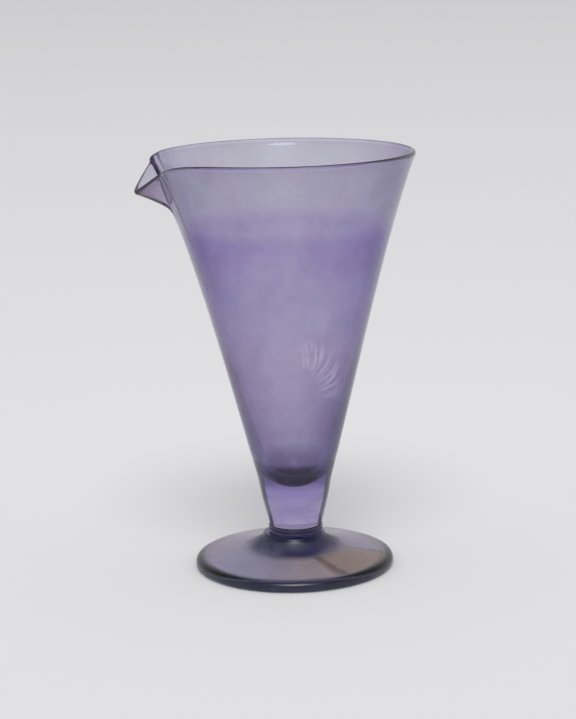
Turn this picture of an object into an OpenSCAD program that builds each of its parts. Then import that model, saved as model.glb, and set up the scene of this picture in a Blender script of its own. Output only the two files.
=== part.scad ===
// Conical measuring glass: a blown bowl with a drawn pouring lip, a solid stem, a ringed collar and a blown foot.
// Millimetres, +Z up. The origin is the centre of the ring that the foot stands on, at table level.
// The lip points along -X. The front is the -Y side.

/* [Foot] */
// Diameter of the foot
foot_d = 75; // [66:0.5:90]
// Thickness of the foot at its rounded edge
foot_edge = 4.1; // [3.4:0.1:5]
// Height of the foot at its raised centre, where the collar sits
foot_h = 13; // [11:0.5:18]
// Rise of the foot's top from its edge to the flare
foot_rise = 3.2; // [1.5:0.1:4.5]
// How far the raised centre stands out beyond the collar
boss_margin = 0.2; // [0.1:0.1:2]
// Radius of the flare round the raised centre
boss_flare = 9; // [5:0.5:11]
// Width of the flat ring that the foot stands on
stand_w = 4.4; // [2:0.1:8]
// Depth of the hollow inside that ring
hollow_depth = 2.2; // [1.2:0.1:3]
// Diameter of the ring-shaped scar where the glass was held while it was worked
scar_d = 16; // [9:0.5:22]
// Height of the scar
scar_h = 0.6; // [0.3:0.1:0.9]

/* [Collar] */
// Height of the collar
collar_h = 3.2; // [2:0.1:6]
// Number of rounded rings in the collar
collar_rings = 2; // [1:1:3]
// How far each ring stands out beyond the stem
ring_bulge = 0.4; // [0.2:0.05:0.6]

/* [Stem] */
// Diameter of the stem where it meets the collar
stem_foot_d = 19.8; // [15:0.1:24]
// Diameter of the stem where it meets the bowl
stem_top_d = 25.1; // [20:0.1:27]
// Height of the stem
stem_h = 10.8; // [6:0.2:24]
// How far the stem stands off the middle of the foot, away from the lip
stem_off = 0.7; // [0:0.1:1.5]

/* [Bowl] */
// Diameter of the mouth at its rounded rim
mouth_d = 97.6; // [80:0.2:112]
// Height of the bowl above the stem
bowl_h = 130.2; // [100:0.2:150]
// Diameter at the knee, where the wall leaves the solid glass
knee_d = 28; // [27.6:0.1:32]
// Height of the knee above the stem
knee_h = 7.5; // [5:0.1:12]
// Share of the wall's spread that is kept for the flare below the rim
flare_share = 0.11; // [0:0.01:0.25]
// How sharply that flare opens
flare_power = 4.5; // [2.5:0.1:6]
// Thickness of the wall
wall = 2; // [1.6:0.1:2.6]
// Thickness of the wall at the knee
knee_wall = 5.2; // [4:0.1:6]
// Thickness of the rounded rim
rim_bead = 2.3; // [2:0.1:2.8]
// Thickness of the solid glass under the hollow
floor_t = 5.6; // [4:0.1:7]
// Height over which the bottom of the hollow is rounded
floor_round = 9; // [6:0.5:12]
// How far the rim leans towards the lip
bowl_lean = 1.8; // [0:0.1:3]

/* [Lip] */
// Width of the lip between its two shoulders
lip_w = 22.1; // [18:0.1:26]
// Length of wall that is drawn into the lip
lip_l = 18.2; // [16:0.1:24]
// How far the lip's tip stands out beyond the rim
lip_reach = 7.3; // [4:0.1:9]
// How far the lip's tip hangs below the rim
lip_drop = 11.6; // [8:0.1:12]
// Softness of the fold along the middle of the lip
lip_fold = 2; // [1.6:0.1:3]
// Softness of the creases that run down from the shoulders
lip_crease = 1; // [0.9:0.1:2]
// How much softer the creases are for each millimetre below the rim
crease_growth = 0.06; // [0:0.01:0.12]
// How far the front shoulder sinks below the rim
front_dip = 4.6; // [1:0.1:5.5]
// Length of rim that the front shoulder pulls down with it
front_spread = 10.5; // [6:0.5:13]
// How far the back shoulder sinks below the rim
back_dip = 1.9; // [0.5:0.1:4]
// Length of rim that the back shoulder pulls down with it
back_spread = 3.3; // [2.5:0.1:8]
// How far the front shoulder bulges out
front_bulge = 0.4; // [0:0.1:1.2]
// How far the back shoulder bulges out
back_bulge = 0.8; // [0:0.1:1.2]

/* [Hidden] */
$fn = 96;

foot_r = foot_d / 2;
edge_r = foot_r - foot_edge / 2;
collar_r = stem_foot_d / 2;
boss_r = collar_r + stem_off + boss_margin;
flare_r = boss_r + boss_flare;
flare_angle = atan(foot_rise / (edge_r - flare_r));
flare_z = foot_edge + foot_rise + boss_flare / cos(flare_angle);
tangent_r = flare_r - boss_flare * sin(flare_angle);
tangent_z = flare_z - boss_flare * cos(flare_angle);
hollow_r = edge_r - stand_w;
hollow_arc = (hollow_r * hollow_r + hollow_depth * hollow_depth) / (2 * hollow_depth);

collar_z = foot_h;
ring_h = collar_h / collar_rings;
ring_arc = (ring_h * ring_h / 4 + ring_bulge * ring_bulge) / (2 * ring_bulge);

stem_z = collar_z + collar_h;
seat_z = stem_z + stem_h;
knee_z = seat_z + knee_h;
floor_z = seat_z + floor_t;
rim_z = seat_z + bowl_h;
bead_z = rim_z - rim_bead / 2;
seat_r = stem_top_d / 2;
knee_r = knee_d / 2;
mouth_r = mouth_d / 2;

// Share of the height over which the wall thins from the knee
thin_share = 0.4;
// Height over which the pull of a shoulder fades down the wall, and the same for its bulge
dip_fade = 14;
bulge_fade = 8;
// Where a shoulder bulges and how wide the bulge is, in half widths of the lip
bulge_at = 1.2;
bulge_wide = 0.25;
// Height over which the rim's bead fades into the wall
bead_fade = 1.6;
// Step used to find the wall's direction
tiny = 0.05;

mid_rim_r = mouth_r - wall / 2;
lip_half = asin(lip_w / 2 / mid_rim_r);
fold = lip_fold / (lip_w / 2);

// The ways round the bowl at which its wall is worked out, in degrees from the lip, closest at the lip
fine_step = 1.5;
fine_steps = ceil(1.3 * lip_half / fine_step);
fine_end = fine_steps * fine_step;
side_step = 4;
side_steps = 6;
side_end = fine_end + side_steps * side_step;
plain_steps = 40;
plain_step = (360 - 2 * side_end) / plain_steps;
turns = concat(
    [for (i = [-fine_steps : fine_steps - 1]) i * fine_step],
    [for (i = [0 : side_steps - 1]) fine_end + i * side_step],
    [for (i = [0 : plain_steps - 1]) side_end + i * plain_step - (side_end + i * plain_step > 180 ? 360 : 0)],
    [for (i = [0 : side_steps - 1]) -side_end + i * side_step]
);

// The heights at which the wall is worked out, from above the knee to the rim, closest at the lip
plain_rows = 5;
lip_rows = 10;
low_z = knee_z + floor_round;
lip_z = rim_z - 1.25 * lip_l;
wall_rows = concat(
    [for (i = [0 : plain_rows - 1]) low_z + (lip_z - low_z) * i / plain_rows],
    [for (i = [0 : lip_rows]) lip_z + (bead_z - lip_z) * i / lip_rows]
);
bead_rows = 5;
round_rows = 5;
knee_rows = [seat_z, knee_z - 1.5, knee_z, knee_z + 1.5, knee_z + floor_round / 2];

// Share of the way from the knee to the rim
function rise(z) = max(0, (z - knee_z) / (rim_z - knee_z));

// Outside radius of the bowl: straight to the knee, then a cone that opens into a flare
function outside_r(z) = z < knee_z
    ? seat_r + (knee_r - seat_r) * (z - seat_z) / knee_h
    : knee_r + (mouth_r - knee_r) * (rise(z) + flare_share * (pow(rise(z), flare_power) - rise(z)));

// The wall thins from the knee, and swells into a bead at the rim
function wall_t(z) = knee_wall + (wall - knee_wall) * min(1, rise(z) / thin_share);
function bead_t(z) = wall_t(z) + (rim_bead - wall) * exp(-(bead_z - z) / bead_fade);

// The bowl's axis bends towards the lip with the square of the height
function axis_x(z) = stem_off - bowl_lean * pow(rise(z), 2);

// A number that is never below zero, with a soft corner, and a distance from zero with a soft corner
function soft_above(x, soft) = (x + sqrt(x * x + soft * soft)) / 2;
function crease(z) = (lip_crease + crease_growth * min(rim_z - z, lip_l)) / (lip_w / 2);
function soft_size(x) = (sqrt(x * x + fold * fold) - fold) / (sqrt(1 + fold * fold) - fold);

// How much of the lip's pull the wall takes: all at the tip, none past the shoulders or below the lip
function pull(turn, z) =
    soft_above(1 - soft_size(turn / lip_half) - (rim_z - z) / lip_l, crease(z)) / soft_above(1, crease(z));

// How far a shoulder draws the rim down, and how far it bulges out
function past(turn, spread) = exp(-max(0, abs(turn) - lip_half) / (spread / mid_rim_r * 180 / PI));
function dip(turn, z) = min(1, abs(turn) / lip_half) * exp(-(rim_z - z) / dip_fade)
    * (turn > 0 ? front_dip * past(turn, front_spread) : back_dip * past(turn, back_spread));
function bulge(turn, z) = (turn > 0 ? front_bulge : back_bulge) * exp(-(rim_z - z) / bulge_fade)
    * exp(-pow((abs(turn) / lip_half - bulge_at) / bulge_wide, 2));

// A point in the middle of the wall, a turn in degrees round from the lip towards the front
function middle_r(turn, z) = outside_r(z) - wall_t(z) / 2 + lip_reach * pull(turn, z) + bulge(turn, z);
function middle(turn, z) = [
    axis_x(z) - middle_r(turn, z) * cos(turn),
    -middle_r(turn, z) * sin(turn),
    z - lip_drop * pull(turn, z) - dip(turn, z)
];

function unit(v) = v / norm(v);
// The ways along the wall, across it and up it, at a point in its middle
function along(turn, z) = unit(middle(turn + tiny, z) - middle(turn - tiny, z));
function across(turn, z) = unit(cross(along(turn, z), middle(turn, z + tiny) - middle(turn, z - tiny)));
function up(turn, z) = cross(across(turn, z), along(turn, z));

// One ring of points on the wall: side 1 is the outside and side -1 the inside
function wall_ring(z, side) = [
    for (turn = turns) middle(turn, z) + side * bead_t(z) / 2 * across(turn, z)
];
// One ring of points round the rim's bead, from 0 degrees outside to 180 degrees inside
function bead_ring(angle) = [
    for (turn = turns) middle(turn, bead_z)
        + rim_bead / 2 * (cos(angle) * across(turn, bead_z) + sin(angle) * up(turn, bead_z))
];
// One plain round ring
function round_ring(r, z) = [for (turn = turns) [axis_x(z) - r * cos(turn), -r * sin(turn), z]];

// The rounded bottom of the hollow, from 0 degrees at its lowest point
function bottom_z(angle) = floor_z + floor_round * (1 - cos(angle));
function bottom_r(angle) = (outside_r(bottom_z(angle)) - wall_t(bottom_z(angle))) * sin(angle);

bowl_rings = concat(
    [for (z = knee_rows) round_ring(outside_r(z), z)],
    [for (z = wall_rows) wall_ring(z, 1)],
    [for (i = [1 : bead_rows]) bead_ring(180 * i / (bead_rows + 1))],
    [for (i = [len(wall_rows) - 1 : -1 : 0]) wall_ring(wall_rows[i], -1)],
    [for (i = [round_rows : -1 : 1]) round_ring(bottom_r(90 * i / round_rows), bottom_z(90 * i / round_rows))]
);

module bowl() {
    n = len(turns);
    last = len(bowl_rings) - 1;
    points = concat([for (ring = bowl_rings) each ring], [[axis_x(floor_z), 0, floor_z]]);
    pole = len(points) - 1;
    color("#9c92ba")
        polyhedron(
            points = points,
            faces = concat(
                [[for (i = [0 : n - 1]) n - 1 - i]],
                [for (k = [0 : last - 1], i = [0 : n - 1]) [k * n + i, k * n + (i + 1) % n, (k + 1) * n + i]],
                [for (k = [0 : last - 1], i = [0 : n - 1])
                    [k * n + (i + 1) % n, (k + 1) * n + (i + 1) % n, (k + 1) * n + i]],
                [for (i = [0 : n - 1]) [last * n + i, last * n + (i + 1) % n, pole]]
            )
        );
}

module stem() {
    color("#8a81b0")
        translate([stem_off, 0, stem_z])
            cylinder(h = stem_h, r1 = collar_r, r2 = seat_r);
}

module collar() {
    color("#544a78")
        translate([stem_off, 0, collar_z])
            rotate_extrude() {
                square([collar_r, collar_h]);
                for (i = [0 : collar_rings - 1])
                    intersection() {
                        translate([0, i * ring_h])
                            square([collar_r + ring_bulge, ring_h]);
                        translate([collar_r + ring_bulge - ring_arc, (i + 0.5) * ring_h])
                            circle(ring_arc);
                    }
            }
}

// Half of the foot, cut through its middle, before the hollow is taken out of its underside
module foot_top() {
    intersection() {
        square([foot_r, foot_h]);
        union() {
            square([boss_r, 2 * foot_h]);
            difference() {
                square([tangent_r, flare_z]);
                translate([flare_r, flare_z])
                    circle(boss_flare);
            }
            polygon([[0, 0], [edge_r, 0], [edge_r, foot_edge], [tangent_r, tangent_z], [0, tangent_z]]);
            translate([edge_r, foot_edge / 2])
                circle(foot_edge / 2);
        }
    }
}

module foot() {
    scar_r = scar_d / 2;
    scar_z = hollow_depth - hollow_arc + sqrt(hollow_arc * hollow_arc - scar_r * scar_r);
    color("#8f88a4")
        rotate_extrude() {
            difference() {
                foot_top();
                translate([0, hollow_depth - hollow_arc])
                    circle(hollow_arc, $fn = 720);
            }
            translate([scar_r, scar_z])
                circle(scar_h);
        }
}

foot();
collar();
stem();
bowl();
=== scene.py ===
# Conical measuring glass: a blown bowl with a drawn pouring lip, a solid stem, a ringed collar and a blown
# foot. Metres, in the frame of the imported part: +Z up, the origin under the middle of the foot, the lip
# along -X and the front along -Y.
import math

import bpy
import numpy as np
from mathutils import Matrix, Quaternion, Vector


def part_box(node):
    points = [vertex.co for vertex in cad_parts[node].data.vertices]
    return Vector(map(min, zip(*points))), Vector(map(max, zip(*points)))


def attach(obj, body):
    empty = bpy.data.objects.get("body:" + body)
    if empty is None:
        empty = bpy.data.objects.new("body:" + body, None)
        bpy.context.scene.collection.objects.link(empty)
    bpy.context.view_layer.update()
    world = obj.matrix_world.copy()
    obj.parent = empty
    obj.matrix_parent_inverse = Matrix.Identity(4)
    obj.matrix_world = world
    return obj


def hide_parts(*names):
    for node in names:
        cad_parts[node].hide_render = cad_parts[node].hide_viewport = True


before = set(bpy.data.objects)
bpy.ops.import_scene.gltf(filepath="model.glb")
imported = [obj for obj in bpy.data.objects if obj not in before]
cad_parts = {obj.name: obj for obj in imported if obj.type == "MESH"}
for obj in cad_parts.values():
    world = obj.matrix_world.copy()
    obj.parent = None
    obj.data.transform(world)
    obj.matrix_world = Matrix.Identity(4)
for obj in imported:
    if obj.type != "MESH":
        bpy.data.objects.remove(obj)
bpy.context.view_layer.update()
mm = 0.001

# Foot
# A disc of clear violet glass, blown and opened out, then tooled up in the middle to take the collar. It
# stands on a flat ring round a shallow hollow, with a ring-shaped scar where it was held on the iron. Its
# top is worn and milky, with fine swirls from the tool and a brown stain on the side away from the lip.
foot_low, foot_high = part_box("foot")
stem_low, stem_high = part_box("stem")
foot_r = (foot_high.x - foot_low.x) / 2
foot_top = foot_high.z
foot_sides = 240
stem_x = (stem_low.x + stem_high.x) / 2
foot_edge = 4.1 * mm
foot_rise = 3.2 * mm
boss_r = 10.8 * mm
boss_flare = 9 * mm
boss_round = 1.2 * mm
stand_w = 4.4 * mm
hollow_depth = 2.2 * mm
scar_r = 8 * mm
scar_h = 0.6 * mm
scar_fade = 0.48 * mm
collar_r = 9.9 * mm
# How far a piece's hidden end sinks into the piece below it, where the two are fused into one glass
fused = 0.03 * mm
glass_index = 1.52


def linear(colour):
    """A colour written as sRGB hex, as linear light: below 4 % it is divided by 12.92, above it is raised
    to the power 2.4 after an offset."""
    levels = [int(colour[i:i + 2], 16) / 255 for i in (1, 3, 5)]
    return [c / 12.92 if c <= 0.04045 else ((c + 0.055) / 1.055) ** 2.4 for c in levels] + [1.0]


def arc(centre, radius, start, end, count):
    """Points on a circle in the plane of radius and height: the centre plus the radius times the cosine and
    sine of each angle, in degrees."""
    angle = np.radians(np.linspace(start, end, count))
    return np.stack([centre[0] + radius * np.cos(angle), centre[1] + radius * np.sin(angle)], axis=-1)


def line(start, end, count):
    """Points at even steps between two points, both ends left out."""
    share = np.linspace(0, 1, count + 2)[1:-1, None]
    return np.array(start) * (1 - share) + np.array(end) * share


def revolve(profile, axis_x, count):
    """A grid of rings: each point of the profile goes round the upright axis at its radius and height."""
    turn = np.linspace(0, 2 * np.pi, count, endpoint=False)
    r, z = profile[:, 0, None], profile[:, 1, None]
    return np.stack([axis_x + r * np.cos(turn), r * np.sin(turn), z + 0 * turn], axis=-1)


def closed_skin(name, rings):
    """One closed mesh from a grid of rings whose first and last ring are single points, with its faces
    outwards. Neighbouring rings are joined by quads, and the end points to their rings by triangles.
    Corners of more than 35 degrees stay sharp."""
    first, last, inner = rings[0].mean(0), rings[-1].mean(0), rings[1:-1]
    rows, count = inner.shape[:2]
    points = np.concatenate([inner.reshape(-1, 3), [first], [last]])
    k, i = np.meshgrid(np.arange(rows - 1), np.arange(count), indexing="ij")
    j = (i + 1) % count
    quads = np.stack([k * count + i, k * count + j, (k + 1) * count + j, (k + 1) * count + i], axis=-1)
    here, there = np.arange(count), (np.arange(count) + 1) % count
    start = np.stack([there, here, np.full(count, rows * count)], axis=-1)
    end = np.stack([here, there, np.full(count, rows * count + 1)], axis=-1)
    end[:, :2] += (rows - 1) * count
    mesh = bpy.data.meshes.new(name)
    mesh.from_pydata(points, [], [*quads.reshape(-1, 4).tolist(), *start.tolist(), *end.tolist()])
    mesh.shade_smooth()
    mesh.set_sharp_from_angle(angle=math.radians(35))
    piece = bpy.data.objects.new(name, mesh)
    bpy.context.scene.collection.objects.link(piece)
    return piece


def add(tree, kind, inputs=(), stops=(), **settings):
    """Adds a node of a kind, sets its settings and a ramp's stops, and sets or links its inputs, given by
    name or by place. Returns its outputs. A Mix of two colours has them at places 6 and 7 and its result at
    2, and a MapRange that is given from high to low falls from 1 to 0."""
    made = tree.nodes.new("ShaderNode" + kind)
    for name, value in settings.items():
        setattr(made, name, value)
    for place, value in dict(inputs).items():
        if isinstance(value, bpy.types.NodeSocket):
            tree.links.new(value, made.inputs[place])
        else:
            made.inputs[place].default_value = value
    for k, (place, colour) in enumerate(stops):
        ramp = made.color_ramp.elements
        if k == 0:
            ramp.remove(ramp[1])
        stop = ramp.new(place) if k else ramp[0]
        stop.position = place
        stop.color = linear(colour)
    return made.outputs


def glass(name, body_per_mm, low=-1.0, high=1.0, within=0.0, slant=0.85, steep=1.0):
    """Clear soda-lime glass, coloured right through: the body takes away the given share of red, green and
    blue for each millimetre. Below the low joint, and above the high one within its radius, the skin is
    fused to the next piece, so it gets that glass's index and no film. A film on the rest looks deeper
    where it is seen aslant: its depth is 1 / (1 - slant * aslant) to the power steep, and 4 at most. A
    joint that the piece hasn't got is left a metre away. Returns what dress() needs."""
    material = bpy.data.materials.new(name)
    material.use_nodes = True
    tree = material.node_tree
    tree.nodes.clear()
    place = add(tree, "TexCoord")["Object"]
    height = add(tree, "SeparateXYZ", {0: place})["Z"]
    above = add(tree, "Math", {0: height, 1: low + 0.1 * fused}, operation="GREATER_THAN")[0]
    below = add(tree, "Math", {0: height, 1: high - 0.1 * fused}, operation="LESS_THAN")[0]
    off = add(tree, "VectorMath", {0: place, 1: (stem_x, 0, high)}, operation="DISTANCE")["Value"]
    beside = add(tree, "Math", {0: off, 1: within}, operation="GREATER_THAN")[0]
    below = add(tree, "Math", {0: below, 1: beside}, operation="MAXIMUM")[0] if within else below
    skin = add(tree, "Math", {0: above, 1: below}, operation="MULTIPLY")[0]
    index = add(tree, "Math", {0: skin, 1: glass_index - 1, 2: 1.0}, operation="MULTIPLY_ADD")[0]
    surface = add(tree, "BsdfPrincipled", {"IOR": index, "Roughness": 0.0, "Transmission Weight": 1.0})[0]
    densest = max(body_per_mm)
    tint = [1 - share / densest for share in body_per_mm] + [1]
    body = add(tree, "VolumeAbsorption", {"Color": tint, "Density": densest / mm})[0]
    add(tree, "OutputMaterial", {"Surface": surface, "Volume": body})
    aslant = add(tree, "LayerWeight", {"Blend": 0.5})["Facing"]
    cosine = add(tree, "Math", {0: aslant, 1: -slant, 2: 1.0}, operation="MULTIPLY_ADD")[0]
    depth = add(tree, "Math", {0: cosine, 1: -steep}, operation="POWER")[0]
    depth = add(tree, "Math", {0: depth, 1: 4.0}, operation="MINIMUM")[0]
    return {"material": material, "tree": tree, "place": place, "height": height, "skin": skin,
            "aslant": aslant, "depth": depth, "shader": surface.node}


def dress(marks, tint_and_shade, haze=None, roughness=None):
    """Gives the skin its tint, the share of it that is milky and its roughness, but not where it is fused.
    The tint is the film, and in places painted shade, and it is raised to the power of its depth."""
    tree, skin, shader = marks["tree"], marks["skin"], marks["shader"]
    deep = add(tree, "Gamma", {"Color": tint_and_shade, "Gamma": marks["depth"]})[0]
    clear = add(tree, "Mix", {0: skin, 6: (1, 1, 1, 1), 7: deep}, data_type="RGBA")[2]
    tree.links.new(clear, shader.inputs["Base Color"])
    if haze is not None:
        milky = add(tree, "Math", {0: skin, 1: haze}, operation="MULTIPLY")[0]
        through = add(tree, "Math", {0: 1.0, 1: milky}, operation="SUBTRACT")[0]
        tree.links.new(through, shader.inputs["Transmission Weight"])
    if roughness is not None:
        rough = add(tree, "Math", {0: skin, 1: roughness}, operation="MULTIPLY")[0]
        tree.links.new(rough, shader.inputs["Roughness"])


edge_r = foot_r - foot_edge / 2
flare_r = boss_r + boss_flare
flare_angle = math.atan(foot_rise / (edge_r - flare_r))
flare_z = foot_edge + foot_rise + boss_flare / math.cos(flare_angle)
tangent = (flare_r - boss_flare * math.sin(flare_angle), flare_z - boss_flare * math.cos(flare_angle))
slope = math.degrees(flare_angle)
round_z = foot_top - boss_round
round_r = flare_r - math.sqrt((boss_flare + boss_round) ** 2 - (flare_z - round_z) ** 2)
turn_in = math.degrees(math.asin((flare_z - round_z) / (boss_flare + boss_round)))
hollow_r = edge_r - stand_w
hollow_arc = (hollow_r ** 2 + hollow_depth ** 2) / (2 * hollow_depth)
hollow_end = 90 - math.degrees(math.asin(hollow_r / hollow_arc))
hollow = arc((0, hollow_depth - hollow_arc), hollow_arc, 90, hollow_end, 160)
hollow[:, 1] -= scar_h * np.exp(-((hollow[:, 0] - scar_r) / scar_fade) ** 2)
edge = arc((edge_r, foot_edge / 2), foot_edge / 2, -90, 90 - slope, 40)
foot_profile = np.concatenate([
    hollow,
    line((hollow_r, 0), (edge_r, 0), 6),
    edge,
    line(edge[-1], tangent, 12),
    arc((flare_r, flare_z), boss_flare, 270 - slope, 180 + turn_in, 30),
    arc((round_r, round_z), boss_round, turn_in, 90, 9)[1:],
    line((round_r, foot_top), (0, foot_top), 12),
    [(0, foot_top)],
])
foot = closed_skin("blown_foot", revolve(foot_profile, 0, foot_sides))

# The light that comes through the glass is violet, and deeper where its way is longer
marks = glass("blown_violet_glass_foot", (0.045, 0.046, 0.028), high=foot_top, within=collar_r)
tree, place = marks["tree"], marks["place"]
axes = add(tree, "SeparateXYZ", {0: place})
flat = add(tree, "CombineXYZ", {0: axes["X"], 1: axes["Y"]})[0]
away = add(tree, "VectorMath", {0: flat}, operation="LENGTH")["Value"]
turned = add(tree, "Math", {0: axes["Y"], 1: axes["X"]}, operation="ARCTAN2")[0]
# Tool marks curl out from the middle, 4 mm apart. This curl and the stain's are in radians for each metre
tool_curl = 70.0
curl = add(tree, "Math", {0: away, 1: tool_curl}, operation="MULTIPLY")[0]
curled = add(tree, "VectorRotate", {"Vector": flat, "Angle": curl}, rotation_type="Z_AXIS")[0]
curled = add(tree, "Mapping", {"Vector": curled, "Scale": (1 / (14 * mm), 1 / (4 * mm), 1)})[0]
swirl = add(tree, "TexNoise", {"Vector": curled, "Scale": 1.0, "Detail": 4.0, "Distortion": 0.6})[0]
# Across the front the film is pinkish. The brown stain lies front right, between a dark fold and a fine
# dark edge, which curl with the distance from the middle and are ragged
stain_curl = -7.3
ragged = add(tree, "TexNoise", {"Vector": place, "Scale": 1 / (5 * mm), "Detail": 3.0})[0]
bearing = add(tree, "Math", {0: ragged, 1: 0.12, 2: turned}, operation="MULTIPLY_ADD")[0]
bearing = add(tree, "Math", {0: away, 1: stain_curl, 2: bearing}, operation="MULTIPLY_ADD")[0]
bearing = add(tree, "Math", {0: swirl, 1: 0.04, 2: bearing}, operation="MULTIPLY_ADD")[0]
bearing = add(tree, "Math", {0: bearing, 1: 0.02}, operation="SUBTRACT")[0]
bearing = add(tree, "MapRange", {"Value": bearing, "From Min": -math.pi, "From Max": math.pi})[0]
tint_and_shade = add(tree, "ValToRGB", {"Fac": bearing}, stops=[
    (0.0, "#e9e5f5"), (0.125, "#e9e5f5"), (0.200, "#f2e7ea"), (0.258, "#f2e7e8"), (0.266, "#dccdc9"),
    (0.281, "#bcaaa8"), (0.287, "#e8dacd"), (0.418, "#e3d6cc"), (0.424, "#b4acb6"), (0.430, "#e6dfec")])[0]
# Wear has made the top milky, but not the rounded edge or the boss
on_top = add(tree, "MapRange", {"Value": axes["Z"], "From Min": 2.6 * mm, "From Max": 4.4 * mm})[0]
in_rim = add(tree, "MapRange", {"Value": away, "From Min": 35.5 * mm, "From Max": 33.5 * mm})[0]
off_boss = add(tree, "MapRange", {"Value": away, "From Min": 15 * mm, "From Max": 21 * mm})[0]
worn = add(tree, "Math", {0: on_top, 1: in_rim}, operation="MULTIPLY")[0]
worn = add(tree, "Math", {0: worn, 1: off_boss}, operation="MULTIPLY")[0]
milky = add(tree, "MapRange", {"Value": swirl, "From Min": 0.3, "From Max": 0.7,
                               "To Min": 0.29, "To Max": 0.33})[0]
milky = add(tree, "Math", {0: milky, 1: worn}, operation="MULTIPLY")[0]
tint_and_shade = add(tree, "Mix", {0: worn, 6: linear("#eae8f4"), 7: tint_and_shade}, data_type="RGBA")[2]
# Round the collar the glass's tone is mottled, which is real, and darker, which is painted shade. In front
# of it lies a painted pool of shade
on_boss = add(tree, "MapRange", {"Value": away, "From Min": 21 * mm, "From Max": 13 * mm},
              interpolation_type="SMOOTHSTEP")[0]
on_boss = add(tree, "Math", {0: on_boss, 1: on_top}, operation="MULTIPLY")[0]
mottle_and_shade = add(tree, "MapRange", {"Value": ragged, "From Min": 0.40, "From Max": 0.60})[0]
mottle_and_shade = add(tree, "Mix", {0: mottle_and_shade, 6: linear("#efebf6"), 7: linear("#bcb2d4")}, data_type="RGBA")[2]
tint_and_shade = add(tree, "Mix", {0: on_boss, 6: tint_and_shade, 7: mottle_and_shade}, data_type="RGBA")[2]
# The painted pool of shade, an ellipse in front of the collar
painted_pool_at = (-0.3 * mm, -13.0 * mm, 0)
painted_pool = add(tree, "VectorMath", {0: flat, 1: painted_pool_at}, operation="SUBTRACT")[0]
painted_pool = add(tree, "VectorMath", {0: painted_pool, 1: (1.0, 2.0, 1.0)}, operation="MULTIPLY")[0]
painted_pool = add(tree, "VectorMath", {0: painted_pool}, operation="LENGTH")["Value"]
painted_pool = add(tree, "MapRange", {"Value": painted_pool, "From Min": 11 * mm, "From Max": 4.5 * mm},
           interpolation_type="SMOOTHSTEP")[0]
painted_pool = add(tree, "Math", {0: painted_pool, 1: on_top}, operation="MULTIPLY")[0]
tint_and_shade = add(tree, "Mix", {0: painted_pool, 6: tint_and_shade, 7: linear("#7d72b2")}, data_type="RGBA")[2]
# The flare is rough and dull, and the rounded corner above it still shines
on_flare = add(tree, "MapRange", {"Value": away, "From Min": 11.8 * mm, "From Max": 12.8 * mm})[0]
on_flare = add(tree, "Math", {0: on_flare, 1: on_boss}, operation="MULTIPLY")[0]
rough = add(tree, "Math", {0: on_flare, 1: 0.4, 2: 0.24}, operation="MULTIPLY_ADD")[0]
rough = add(tree, "Math", {0: on_top, 1: -0.1, 2: rough}, operation="MULTIPLY_ADD")[0]
shine = add(tree, "Math", {0: on_flare, 1: -0.35, 2: 0.5}, operation="MULTIPLY_ADD")[0]
tree.links.new(shine, marks["shader"].inputs["Specular IOR Level"])
dress(marks, tint_and_shade, milky, rough)
foot.data.materials.append(marks["material"])
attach(foot, "root")
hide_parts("foot")

# Collar
# Two rounded rings of the same glass, wound on hot between the foot and the stem. They are thick and solid,
# so they look much darker than the walls.
collar_low, collar_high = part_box("collar")
stem_sides = 180
ring_bulge = (collar_high.x - collar_low.x) / 2 - collar_r
ring_h = (collar_high.z - collar_low.z) / 2
ring_arc = (ring_h ** 2 / 4 + ring_bulge ** 2) / (2 * ring_bulge)
ring_half = math.degrees(math.asin(ring_h / 2 / ring_arc))
ring_x = collar_r + ring_bulge - ring_arc


def sunk_end(z):
    """The collar's or the stem's flat lower end, from the middle to the side, sunk into the piece below."""
    corner = (collar_r - fused, z - fused)
    return np.concatenate([[(0, z - fused)], line((0, z - fused), corner, 8), [corner]])


collar_profile = np.concatenate([
    sunk_end(collar_low.z),
    arc((ring_x, collar_low.z + ring_h / 2), ring_arc, -ring_half, ring_half, 14),
    arc((ring_x, collar_low.z + 3 * ring_h / 2), ring_arc, -ring_half, ring_half, 14)[1:],
    line((collar_r, collar_high.z), (0, collar_high.z), 8),
    [(0, collar_high.z)],
])
collar = closed_skin("ringed_collar", revolve(collar_profile, stem_x, stem_sides))
# Nothing touched its skin after it was wound on, so it is fire-polished: clear and bright
marks = glass("wound_violet_glass_collar", (0.09, 0.10, 0.07), collar_low.z, collar_high.z)
dress(marks, linear("#eceaf2"))
collar.data.materials.append(marks["material"])
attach(collar, "root")
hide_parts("collar")

# Stem
# A short solid stem of the same glass, drawn from the bottom of the bowl and narrowing to the collar. Its
# outline runs on without a break into the bowl's.
seat_r = (stem_high.x - stem_low.x) / 2
stem_slope = 0.22
seat_slope = 0.22


def bend(z, low, high, low_r, high_r, low_slope, high_slope):
    """A smooth curve of radius over height between two heights: the cubic that has the given radius and
    slope at each end."""
    t = (z - low) / (high - low)
    span = high - low
    return (low_r * (1 + 2 * t) * (1 - t) ** 2 + high_r * t ** 2 * (3 - 2 * t)
            + span * (low_slope * t * (1 - t) ** 2 - high_slope * t ** 2 * (1 - t)))


stem_z = np.linspace(stem_low.z + fused, stem_high.z - fused, 40)
stem_z = np.concatenate([[stem_low.z], stem_z, [stem_high.z]])
stem_r = bend(stem_z, stem_low.z, stem_high.z, collar_r, seat_r, stem_slope, seat_slope)
stem_profile = np.concatenate([
    sunk_end(stem_low.z),
    np.stack([stem_r, stem_z], axis=-1),
    line((seat_r, stem_high.z), (0, stem_high.z), 8),
    [(0, stem_high.z)],
])
stem = closed_skin("solid_stem", revolve(stem_profile, stem_x, stem_sides))
marks = glass("drawn_violet_glass_stem", (0.040, 0.045, 0.025), high=stem_high.z)
tree = marks["tree"]
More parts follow.
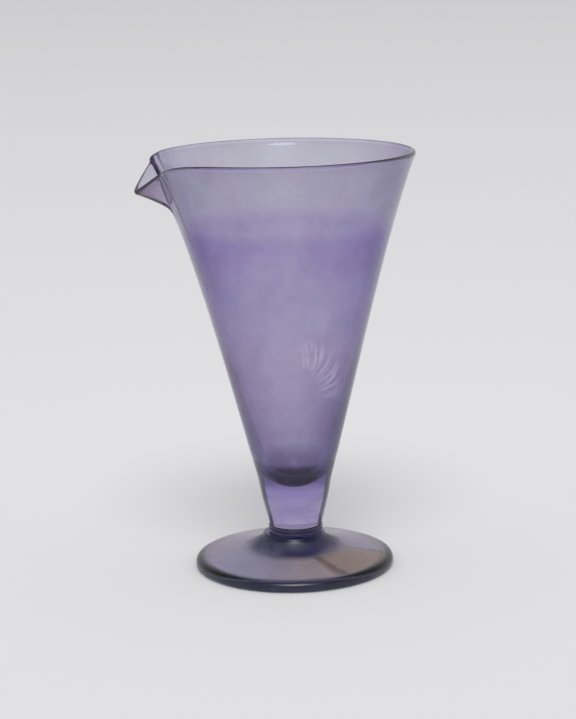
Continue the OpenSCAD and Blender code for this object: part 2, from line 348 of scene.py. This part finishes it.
# Solid glass shows a dark line where it turns away from the eye. It is painted shade, put into the skin's
# tint
turning = add(tree, "MapRange", {"Value": marks["aslant"], "From Min": 0.50, "From Max": 0.58},
              interpolation_type="SMOOTHSTEP")[0]
tint_and_shade = add(tree, "Mix", {0: turning, 6: linear("#f8f8fb"), 7: linear("#6c6690")}, data_type="RGBA")[2]
dress(marks, tint_and_shade, roughness=0.06)
stem.data.materials.append(marks["material"])
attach(stem, "root")
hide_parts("stem")

# Bowl
# A blown cone of the same glass, solid at its point, with a fire-polished rim and a lip that was drawn out
# and down with a tool while the rim was soft. Inside it has a violet film, paler above a soft line high up,
# with a milky bloom low down, and it is dark in the round bottom.
bowl_low, bowl_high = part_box("bowl")
knee_z = bowl_low.z + 7.5 * mm
knee_r = 14 * mm
rim_z = bowl_high.z
mouth_r = 48.8 * mm
flare_share = 0.11
flare_power = 4.5
knee_slope = (mouth_r - knee_r) / (rim_z - knee_z) * (1 - flare_share)
wall = 2 * mm
knee_wall = 5.2 * mm
rim_bead = 2.3 * mm
floor_z = bowl_low.z + 5.6 * mm
floor_round = 9 * mm
bowl_lean = 1.8 * mm
thin_share = 0.4
lip_w = 22.1 * mm
lip_l = 18.2 * mm
lip_reach = 7.3 * mm
lip_drop = 11.6 * mm
lip_fold = 2 * mm
lip_crease = 1 * mm
crease_growth = 0.06
front_dip = 4.6 * mm
front_spread = 10.5 * mm
back_dip = 1.9 * mm
back_spread = 3.3 * mm
front_bulge = 0.4 * mm
back_bulge = 0.8 * mm
dip_fade = 14 * mm
bulge_fade = 8 * mm
bulge_at = 1.2
bulge_wide = 0.25
bead_fade = 1.6 * mm
bead_z = rim_z - rim_bead / 2
mid_rim_r = mouth_r - wall / 2
lip_half = math.asin(lip_w / 2 / mid_rim_r)
fold = lip_fold / (lip_w / 2)


def rise(z):
    """Share of the way from the knee to the rim, and never below zero."""
    return np.maximum(0, (z - knee_z) / (rim_z - knee_z))


def outside_r(z):
    """Outside radius: the stem's outline runs on to the knee, then a cone plus a share that grows with a
    power of the height, which flares it below the rim."""
    low = bend(z, bowl_low.z, knee_z, seat_r, knee_r, seat_slope, knee_slope)
    high = knee_r + (mouth_r - knee_r) * (rise(z) + flare_share * (rise(z) ** flare_power - rise(z)))
    return np.where(z < knee_z, low, high)


def wall_t(z):
    """The wall thins evenly from the knee over the first share of the height."""
    return knee_wall + (wall - knee_wall) * np.minimum(1, rise(z) / thin_share)


def bead_t(z):
    """The wall's thickness with the rim's bead, whose share falls off exponentially below the rim."""
    return wall_t(z) + (rim_bead - wall) * np.exp(-(bead_z - z) / bead_fade)


def axis_x(z):
    """The bowl's axis leans towards the lip with the square of the height."""
    return stem_x - bowl_lean * rise(z) ** 2


def pull(turn, z):
    """How much of the lip's pull the wall takes: all at the tip, falling in straight lines to nothing at
    the shoulders and at the lip's foot. Each corner is softened by a hyperbola, more so below the rim."""
    crease = (lip_crease + crease_growth * np.minimum(rim_z - z, lip_l)) / (lip_w / 2)
    aside = (np.sqrt((turn / lip_half) ** 2 + fold ** 2) - fold) / (math.sqrt(1 + fold ** 2) - fold)
    share = 1 - aside - (rim_z - z) / lip_l
    return (share + np.sqrt(share ** 2 + crease ** 2)) / (1 + np.sqrt(1 + crease ** 2))


def middle(turn, z):
    """A point in the middle of the wall: the cone moved out and down by the lip's pull, down by the dip of
    the nearer shoulder, which fades along the rim and down the wall, and out by its bulge."""
    front = turn > 0
    size = np.abs(turn) / lip_half
    beyond = np.maximum(0, np.abs(turn) - lip_half) * mid_rim_r
    faded = np.exp(-beyond / np.where(front, front_spread, back_spread))
    dip = np.where(front, front_dip, back_dip) * faded
    dip = dip * np.minimum(1, size) * np.exp(-(rim_z - z) / dip_fade)
    bulge = np.where(front, front_bulge, back_bulge) * np.exp(-((size - bulge_at) / bulge_wide) ** 2)
    bulge = bulge * np.exp(-(rim_z - z) / bulge_fade)
    r = outside_r(z) - wall_t(z) / 2 + lip_reach * pull(turn, z) + bulge
    down = lip_drop * pull(turn, z) + dip
    return np.stack([axis_x(z) - r * np.cos(turn), -r * np.sin(turn), z - down], axis=-1)


def across_and_up(turn, z):
    """The way across the wall, at right angles to its slopes round and up the bowl, which are taken over a
    small step, and the way up it, at right angles to that one and to the slope round."""
    step = 0.05 * mm
    round_way = middle(turn + step / mid_rim_r, z) - middle(turn - step / mid_rim_r, z)
    out_way = np.cross(round_way, middle(turn, z + step) - middle(turn, z - step))
    out_way /= np.linalg.norm(out_way, axis=-1, keepdims=True)
    round_way /= np.linalg.norm(round_way, axis=-1, keepdims=True)
    return out_way, np.cross(out_way, round_way)


# The ways round the bowl, closest within 24 degrees of the lip
lip_end = 24
near_lip = np.linspace(-lip_end, lip_end, 193)[:-1]
turns = np.radians(np.concatenate([near_lip, np.linspace(lip_end, 360 - lip_end, 157)[:-1]]))
turns = np.where(turns > np.pi, turns - 2 * np.pi, turns)


def wall_rings(z, side):
    """Rings on the wall's outside, side 1, or its inside, side -1: the middle plus half the thickness."""
    turn, z = np.meshgrid(turns, z)
    return middle(turn, z) + side * bead_t(z)[..., None] / 2 * across_and_up(turn, z)[0]


def bead_rings(angle):
    """Rings round the rim's bead, from 0 outside to 180 degrees inside: the middle plus half the bead times
    the angle's cosine across the wall and its sine up it."""
    angle, turn = np.meshgrid(np.radians(angle), turns, indexing="ij")
    out_way, up_way = across_and_up(turn, bead_z + 0 * turn)
    around = np.cos(angle)[..., None] * out_way + np.sin(angle)[..., None] * up_way
    return middle(turn, bead_z + 0 * turn) + rim_bead / 2 * around


def round_rings(r, z):
    """Plain round rings about the bowl's axis, by the radius times the cosine and the sine of the turn."""
    r, z = np.broadcast_arrays(np.asarray(r, float), np.asarray(z, float))
    x = axis_x(z)[:, None] - r[:, None] * np.cos(turns)
    return np.stack([x, -r[:, None] * np.sin(turns), z[:, None] + 0 * turns], axis=-1)


low_z = knee_z + floor_round
lip_z = rim_z - 1.25 * lip_l
wall_z = np.concatenate([np.linspace(low_z, lip_z, 28)[:-1], np.linspace(lip_z, bead_z, 56)])
base_r = np.linspace(0, seat_r - fused, 8)
knee_rows = np.concatenate([[bowl_low.z], np.linspace(bowl_low.z + fused, low_z, 20)[:-1]])
bead_turn = np.linspace(0, 180, 18)[1:-1]
bottom = np.radians(np.linspace(90, 0, 30))
bottom_z = floor_z + floor_round * (1 - np.cos(bottom))
outer_rings = np.concatenate([
    round_rings(base_r, bowl_low.z - fused),
    round_rings(outside_r(knee_rows), knee_rows),
    wall_rings(wall_z, 1),
    bead_rings(bead_turn),
])
inner_rings = np.concatenate([
    wall_rings(wall_z[::-1], -1),
    round_rings((outside_r(bottom_z) - wall_t(bottom_z)) * np.sin(bottom), bottom_z)[1:],
])
bowl = closed_skin("blown_bowl", np.concatenate([outer_rings, inner_rings]))


def mark(name, values):
    """Stores a grid of numbers, one for each point of the rings, on the bowl's mesh."""
    values = np.concatenate([values[1:-1].reshape(-1), values[0, :1], values[-1, :1]])
    bowl.data.attributes.new(name, "FLOAT", "POINT").data.foreach_set("value", values.astype(np.float32))


inside = np.zeros((len(outer_rings) + len(inner_rings), len(turns)))
inside[len(outer_rings):] = 1
on_lip = 0 * inside
first_wall = len(base_r) + len(knee_rows)
first_bead = first_wall + len(wall_z)
last_wall = len(outer_rings) + len(wall_z)
wall_pull = pull(turns, wall_z[:, None])
bead_pull = np.broadcast_to(pull(turns, rim_z), (len(bead_turn), len(turns)))
on_lip[first_wall:last_wall] = np.concatenate([wall_pull, bead_pull, wall_pull[::-1]])
# The rim's painted shade lies along the top of the bead. This is how far it reaches, in degrees round the
# bead
on_rim = 0 * inside
bead_width = 28 + 50 * bead_pull
on_rim[first_bead:len(outer_rings)] = np.exp(-((bead_turn[:, None] - 90) / bead_width) ** 2)
mark("inside", inside)
mark("lip", on_lip)
mark("rim", on_rim)

marks = glass("blown_violet_glass_bowl", (0.040, 0.046, 0.020), low=bowl_low.z, slant=0.97, steep=1.4)
tree, place, height = marks["tree"], marks["place"], marks["height"]
inner = add(tree, "Attribute", attribute_name="inside")["Fac"]
rim = add(tree, "Attribute", attribute_name="rim")["Fac"]
lip = add(tree, "Attribute", attribute_name="lip")["Fac"]
axes = add(tree, "SeparateXYZ", {0: place})
clouds = add(tree, "TexNoise", {"Vector": place, "Scale": 1 / (18 * mm), "Detail": 4.0,
                                "Roughness": 0.6})[0]


def up_the_bowl(colours):
    """A ramp's stops up the bowl: each height, in millimetres, as its share of the way up to the rim."""
    return [((z * mm - bowl_low.z) / (rim_z - bowl_low.z), colour) for z, colour in colours]


# Both films are paler above a soft line, at 129 to 134 mm. The inner one is dark in the round bottom and
# nearly clear above it
level = add(tree, "Math", {0: clouds, 1: 3 * mm, 2: height}, operation="MULTIPLY_ADD")[0]
level = add(tree, "MapRange", {"Value": level, "From Min": bowl_low.z, "From Max": rim_z})[0]
outer_film = add(tree, "ValToRGB", {"Fac": level}, stops=up_the_bowl([
    (27, "#f8f8fb"), (33, "#eceaf3"), (35, "#cbc6da"), (38, "#bfbbd0"), (49, "#c9c6db"), (55, "#cac6db"),
    (62, "#d1ccdf"), (85, "#d4cee1"), (105, "#dbd6e9"), (118, "#dad3e8"), (129, "#d8d0ea"),
    (134, "#e6e5ee"), (136, "#e5e4ec"), (157, "#e5e4ec")]))[0]
inner_film = add(tree, "ValToRGB", {"Fac": level}, stops=up_the_bowl([
    (33, "#8a84a6"), (35, "#8a84a6"), (36.2, "#605a7c"), (37.8, "#8a84a6"), (40, "#b8b2d0"),
    (45, "#f6f3fa"), (51, "#fffeff"), (62, "#fdfbfe"), (85, "#eeeaf4"), (105, "#e4e1ef"), (118, "#dad3e8"),
    (129, "#d8d0ea"), (134, "#e6e5ee"), (136, "#e5e4ec"), (157, "#e5e4ec")]))[0]
tint_and_shade = add(tree, "Mix", {0: inner, 6: outer_film, 7: inner_film}, data_type="RGBA")[2]
# The lip is clear, and pinkish on its near side
near_side = add(tree, "MapRange", {"Value": axes["Y"], "From Min": 1 * mm, "From Max": -1 * mm})[0]
near_side = add(tree, "Math", {0: near_side, 1: lip}, operation="MULTIPLY")[0]
tint_and_shade = add(tree, "Mix", {0: lip, 6: tint_and_shade, 7: linear("#f0eff4")}, data_type="RGBA")[2]
tint_and_shade = add(tree, "Mix", {0: near_side, 6: tint_and_shade, 7: linear("#cdb6c4")}, data_type="RGBA")[2]
# The film is mauver below a wavy line half way down, and bluer low down on the right
wavy = add(tree, "Math", {0: clouds, 1: 12 * mm, 2: height}, operation="MULTIPLY_ADD")[0]
mauver = add(tree, "MapRange", {"Value": wavy, "From Min": 93 * mm, "From Max": 89 * mm})[0]
mauver = add(tree, "Math", {0: mauver, 1: inner}, operation="MULTIPLY")[0]
tint_and_shade = add(tree, "Mix", {0: mauver, 6: tint_and_shade, 7: linear("#fefbfa")}, data_type="RGBA",
           blend_type="MULTIPLY")[2]
hue = add(tree, "Mapping", {"Vector": place, "Location": (0.3, 0.1, 0.7)})[0]
hue = add(tree, "TexNoise", {"Vector": hue, "Scale": 1 / (11 * mm), "Detail": 5.0, "Roughness": 0.65})[0]
hue = add(tree, "MapRange", {"Value": hue, "From Min": 0.35, "From Max": 0.65})[0]
hue = add(tree, "Mix", {0: hue, 6: linear("#fffdfe"), 7: linear("#fdfeff")}, data_type="RGBA")[2]
tint_and_shade = add(tree, "Mix", {0: 1.0, 6: tint_and_shade, 7: hue}, data_type="RGBA", blend_type="MULTIPLY")[2]
bluer = add(tree, "MapRange", {"Value": axes["X"], "From Min": 6 * mm, "From Max": 16 * mm})[0]
low_bowl = add(tree, "MapRange", {"Value": height, "From Min": 78 * mm, "From Max": 60 * mm})[0]
bluer = add(tree, "Math", {0: bluer, 1: low_bowl}, operation="MULTIPLY")[0]
tint_and_shade = add(tree, "Mix", {0: bluer, 6: tint_and_shade, 7: linear("#ededf5")}, data_type="RGBA",
           blend_type="MULTIPLY")[2]
# The solid point has the stem's painted dark line where it turns away from the eye
solid = add(tree, "MapRange", {"Value": height, "From Min": knee_z + 6 * mm, "From Max": knee_z})[0]
turning = add(tree, "MapRange", {"Value": marks["aslant"], "From Min": 0.50, "From Max": 0.58},
              interpolation_type="SMOOTHSTEP")[0]
turning = add(tree, "Math", {0: turning, 1: solid}, operation="MULTIPLY")[0]
tint_and_shade = add(tree, "Mix", {0: turning, 6: tint_and_shade, 7: linear("#6c6690")}, data_type="RGBA")[2]
# So does the rounded rim as painted shade, most of all round the far side of the lip
rim_shade = add(tree, "Mix", {0: lip, 6: linear("#9a93b4"), 7: linear("#4c4668")}, data_type="RGBA")[2]
far_side = add(tree, "Math", {0: lip, 1: near_side}, operation="SUBTRACT")[0]
far_side = add(tree, "MapRange", {"Value": far_side, "From Min": 0.2, "From Max": 0.5})[0]
rim_shade = add(tree, "Mix", {0: far_side, 6: rim_shade, 7: linear("#1c182e")}, data_type="RGBA")[2]
rolled = add(tree, "MapRange", {"Value": marks["aslant"], "From Min": 0.35, "From Max": 0.75},
             interpolation_type="SMOOTHSTEP")[0]
rim_shade = add(tree, "Mix", {0: rolled, 6: rim_shade, 7: linear("#4a4470")}, data_type="RGBA",
               blend_type="MULTIPLY")[2]
tint_and_shade = add(tree, "Mix", {0: rim, 6: tint_and_shade, 7: rim_shade}, data_type="RGBA")[2]
# On the front wall some of the film is rubbed off in a fan of fine strokes, which spread from one point and
# bend on their way out, in radians for each metre. They are as wide as stroke_w at the reach of stroke_at
fan_at = (-4 * mm, 0, 73.5 * mm)
fan_bend = -40.0
stroke_at = 12 * mm
stroke_w = 1.5 * mm
stroke_l = 11.11 * mm
fan = add(tree, "VectorMath", {0: place, 1: fan_at}, operation="SUBTRACT")[0]
fan = add(tree, "VectorMath", {0: fan, 1: (1.0, 0.0, 1.0)}, operation="MULTIPLY")[0]
reach = add(tree, "VectorMath", {0: fan}, operation="LENGTH")["Value"]
fan_axes = add(tree, "SeparateXYZ", {0: fan})
spread = add(tree, "Math", {0: fan_axes["Z"], 1: fan_axes["X"]}, operation="ARCTAN2")[0]
curved = add(tree, "Math", {0: reach, 1: fan_bend, 2: spread}, operation="MULTIPLY_ADD")[0]
strokes = add(tree, "CombineXYZ", {0: curved, 1: reach})[0]
stroke_scale = (stroke_at / stroke_w, 1 / stroke_l, 1)
strokes = add(tree, "VectorMath", {0: strokes, 1: stroke_scale}, operation="MULTIPLY")[0]
strokes = add(tree, "TexNoise", {"Vector": strokes, "Scale": 1.0, "Detail": 2.0})[0]
strokes = add(tree, "MapRange", {"Value": strokes, "From Min": 0.45, "From Max": 0.57, "To Max": 0.75})[0]
for value, none_at, full_at in ((reach, 8 * mm, 12 * mm), (reach, 20 * mm, 15 * mm),
                                (spread, -0.55, -0.1), (spread, 1.7, 1.1)):
    part = add(tree, "MapRange", {"Value": value, "From Min": none_at, "From Max": full_at})[0]
    strokes = add(tree, "Math", {0: strokes, 1: part}, operation="MULTIPLY")[0]
in_front = add(tree, "Math", {0: axes["Y"], 1: 0.0}, operation="LESS_THAN")[0]
strokes = add(tree, "Math", {0: strokes, 1: in_front}, operation="MULTIPLY")[0]
tint_and_shade = add(tree, "Mix", {0: strokes, 6: tint_and_shade, 7: (1, 1, 1, 1)}, data_type="RGBA")[2]
# The inside is milky, more so low down. The dirt there also stops most of the light that would bounce back
# from it along the wall's edges, and in the round bottom it is so milky that little gets through
milky = add(tree, "MapRange", {"Value": height, "From Min": 60 * mm, "From Max": 125 * mm,
                               "To Min": 0.16, "To Max": 0.03})[0]
milky = add(tree, "Math", {0: milky, 1: clouds}, operation="MULTIPLY")[0]
grazing = add(tree, "Fresnel", {"IOR": glass_index})[0]
grazing = add(tree, "MapRange", {"Value": grazing, "From Min": 0.3, "From Max": 0.9, "To Max": 0.6})[0]
milky = add(tree, "Math", {0: milky, 1: grazing}, operation="ADD")[0]
round_bottom = add(tree, "MapRange", {"Value": height, "From Min": floor_z + 2.5 * mm,
                               "From Max": floor_z + 0.3 * mm, "To Max": 0.9})[0]
milky = add(tree, "Math", {0: milky, 1: round_bottom}, operation="MAXIMUM")[0]
milky = add(tree, "Math", {0: milky, 1: inner}, operation="MULTIPLY")[0]
milky = add(tree, "Math", {0: rim, 1: 0.12, 2: milky}, operation="MULTIPLY_ADD")[0]
rough = add(tree, "Math", {0: lip, 1: 0.14, 2: 0.06}, operation="MULTIPLY_ADD")[0]
rough = add(tree, "Math", {0: round_bottom, 1: 0.5, 2: rough}, operation="MULTIPLY_ADD")[0]
rough = add(tree, "Math", {0: inner, 1: rough}, operation="MULTIPLY")[0]
# The film lies thicker and thinner in clouds, in drips that ran down the wall and in fine grains
drips = add(tree, "Mapping", {"Vector": place, "Scale": (1 / (5 * mm), 1 / (5 * mm), 1 / (40 * mm))})[0]
drips = add(tree, "TexNoise", {"Vector": drips, "Scale": 1.0, "Detail": 3.0})[0]
grains = add(tree, "TexNoise", {"Vector": place, "Scale": 1 / (1.5 * mm), "Detail": 3.0,
                                "Roughness": 0.7})[0]
life = add(tree, "Math", {0: clouds, 1: 0.8, 2: 0.07}, operation="MULTIPLY_ADD")[0]
life = add(tree, "Math", {0: drips, 1: 0.26, 2: life}, operation="MULTIPLY_ADD")[0]
life = add(tree, "Math", {0: grains, 1: 0.8, 2: life}, operation="MULTIPLY_ADD")[0]
depth = add(tree, "Math", {0: marks["depth"], 1: life}, operation="MULTIPLY")[0]
# In the round bottom it looks hardly deeper where it is seen aslant
most = add(tree, "MapRange", {"Value": height, "From Min": floor_z + 6 * mm, "From Max": floor_z + 14 * mm,
                              "To Min": 5.3, "To Max": 8.0})[0]
most = add(tree, "Math", {0: inner, 1: -4.0, 2: most}, operation="MULTIPLY_ADD")[0]
marks["depth"] = add(tree, "Math", {0: depth, 1: most}, operation="MINIMUM")[0]
dress(marks, tint_and_shade, milky, rough)
bowl.data.materials.append(marks["material"])
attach(bowl, "root")
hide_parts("bowl")

# Floor
# A wide sheet of pale matt paper. Far from the object it is painted a little greyer, as the sky beyond it,
# which is painted shade for the light falling off. The tone falls with the logarithm of the distance.
floor_half = 30.0
floor_far = 5.0
floor_log = 18.0
floor_mesh = bpy.data.meshes.new("paper_floor")
corners = [(-floor_half, -floor_half, 0), (floor_half, -floor_half, 0), (floor_half, floor_half, 0),
           (-floor_half, floor_half, 0)]
floor_mesh.from_pydata(corners, [], [(0, 1, 2, 3)])
floor = bpy.data.objects.new("paper_floor", floor_mesh)
bpy.context.scene.collection.objects.link(floor)
paper = bpy.data.materials.new("matt_paper")
paper.use_nodes = True
tree = paper.node_tree
tree.nodes.clear()
away = add(tree, "VectorMath", {0: add(tree, "TexCoord")["Object"]}, operation="LENGTH")["Value"]
away = add(tree, "MapRange", {"Value": away, "From Max": floor_far, "To Min": 1.0, "To Max": floor_log})[0]
away = add(tree, "Math", {0: away, 1: floor_log}, operation="LOGARITHM")[0]
tone = add(tree, "Mix", {0: away, 6: linear("#e8e8ea"), 7: linear("#cfced2")}, data_type="RGBA")[2]
matt = add(tree, "BsdfDiffuse", {"Color": tone})[0]
add(tree, "OutputMaterial", {"Surface": matt})
floor_mesh.materials.append(paper)

# Light
# An even soft room, with a brighter patch of sky round one soft lamp high in front, which throws the
# glass's soft shadow behind it. The lamp stands 12 degrees round towards the lip from the front.
swing = math.radians(12)
lamp_rise = math.radians(56)
lamp_tone = (1.1, 1.1, 1.1, 1)
room_tone = (0.70, 0.70, 0.70, 1)
lamp_way = Vector((-math.sin(swing) * math.cos(lamp_rise), -math.cos(swing) * math.cos(lamp_rise),
                   math.sin(lamp_rise)))
world = bpy.data.worlds.new("studio")
bpy.context.scene.world = world
world.use_nodes = True
tree = world.node_tree
tree.nodes.clear()
path = add(tree, "LightPath")
seen = add(tree, "Math", {0: path["Is Camera Ray"], 1: path["Is Glossy Ray"]}, operation="MAXIMUM")[0]
seen = add(tree, "Math", {0: seen, 1: path["Is Transmission Ray"]}, operation="MAXIMUM")[0]
way = add(tree, "TexCoord")["Generated"]
up = add(tree, "SeparateXYZ", {0: way})["Z"]
high_up = add(tree, "MapRange", {"Value": up, "From Min": 0.25, "From Max": 0.7},
              interpolation_type="SMOOTHSTEP")[0]
sky = add(tree, "Mix", {0: high_up, 6: linear("#cfced2"), 7: linear("#808084")}, data_type="RGBA")[2]
lamp_side = add(tree, "VectorMath", {0: way, 1: lamp_way}, operation="DOT_PRODUCT")["Value"]
lamp_side = add(tree, "MapRange", {"Value": lamp_side, "From Min": 0.85, "From Max": 0.98},
                interpolation_type="SMOOTHSTEP")[0]
sky = add(tree, "Mix", {0: lamp_side, 6: sky, 7: lamp_tone}, data_type="RGBA")[2]
# The sky is what the eye sees, straight or in the glass, and the plain room gives the light
room = add(tree, "Mix", {0: seen, 6: room_tone, 7: sky}, data_type="RGBA")[2]
light = add(tree, "Background", {"Color": room, "Strength": 1.0})[0]
add(tree, "OutputWorld", {"Surface": light})

lamp_data = bpy.data.lights.new("soft_lamp", "SUN")
lamp_data.angle = math.radians(26)
lamp_data.energy = 1.1
lamp = bpy.data.objects.new("soft_lamp", lamp_data)
bpy.context.scene.collection.objects.link(lamp)
lamp.visible_glossy = False
lamp.rotation_mode = "QUATERNION"
lamp.rotation_quaternion = lamp_way.to_track_quat("Z", "Y")

# Camera
# It stands as far round towards the lip as the lamp, and looks 12 degrees down.
look_down = math.radians(12.01)
roll = math.radians(-1.25)
distance = 0.7856
target = Vector((-0.89 * mm, 0.19 * mm, 79.35 * mm))
back = Vector((-math.sin(swing) * math.cos(look_down), -math.cos(swing) * math.cos(look_down),
               math.sin(look_down)))
camera_data = bpy.data.cameras.new("camera")
camera_data.sensor_width = 36
camera_data.lens = 105.3
camera_data.clip_start = 0.01
camera_data.clip_end = 100
camera = bpy.data.objects.new("camera", camera_data)
bpy.context.scene.collection.objects.link(camera)
camera.location = target + distance * back
camera.rotation_mode = "QUATERNION"
camera.rotation_quaternion = Quaternion(back, roll) @ (-back).to_track_quat("-Z", "Y")
bpy.context.scene.camera = camera
bpy.context.scene.view_settings.view_transform = "Standard"
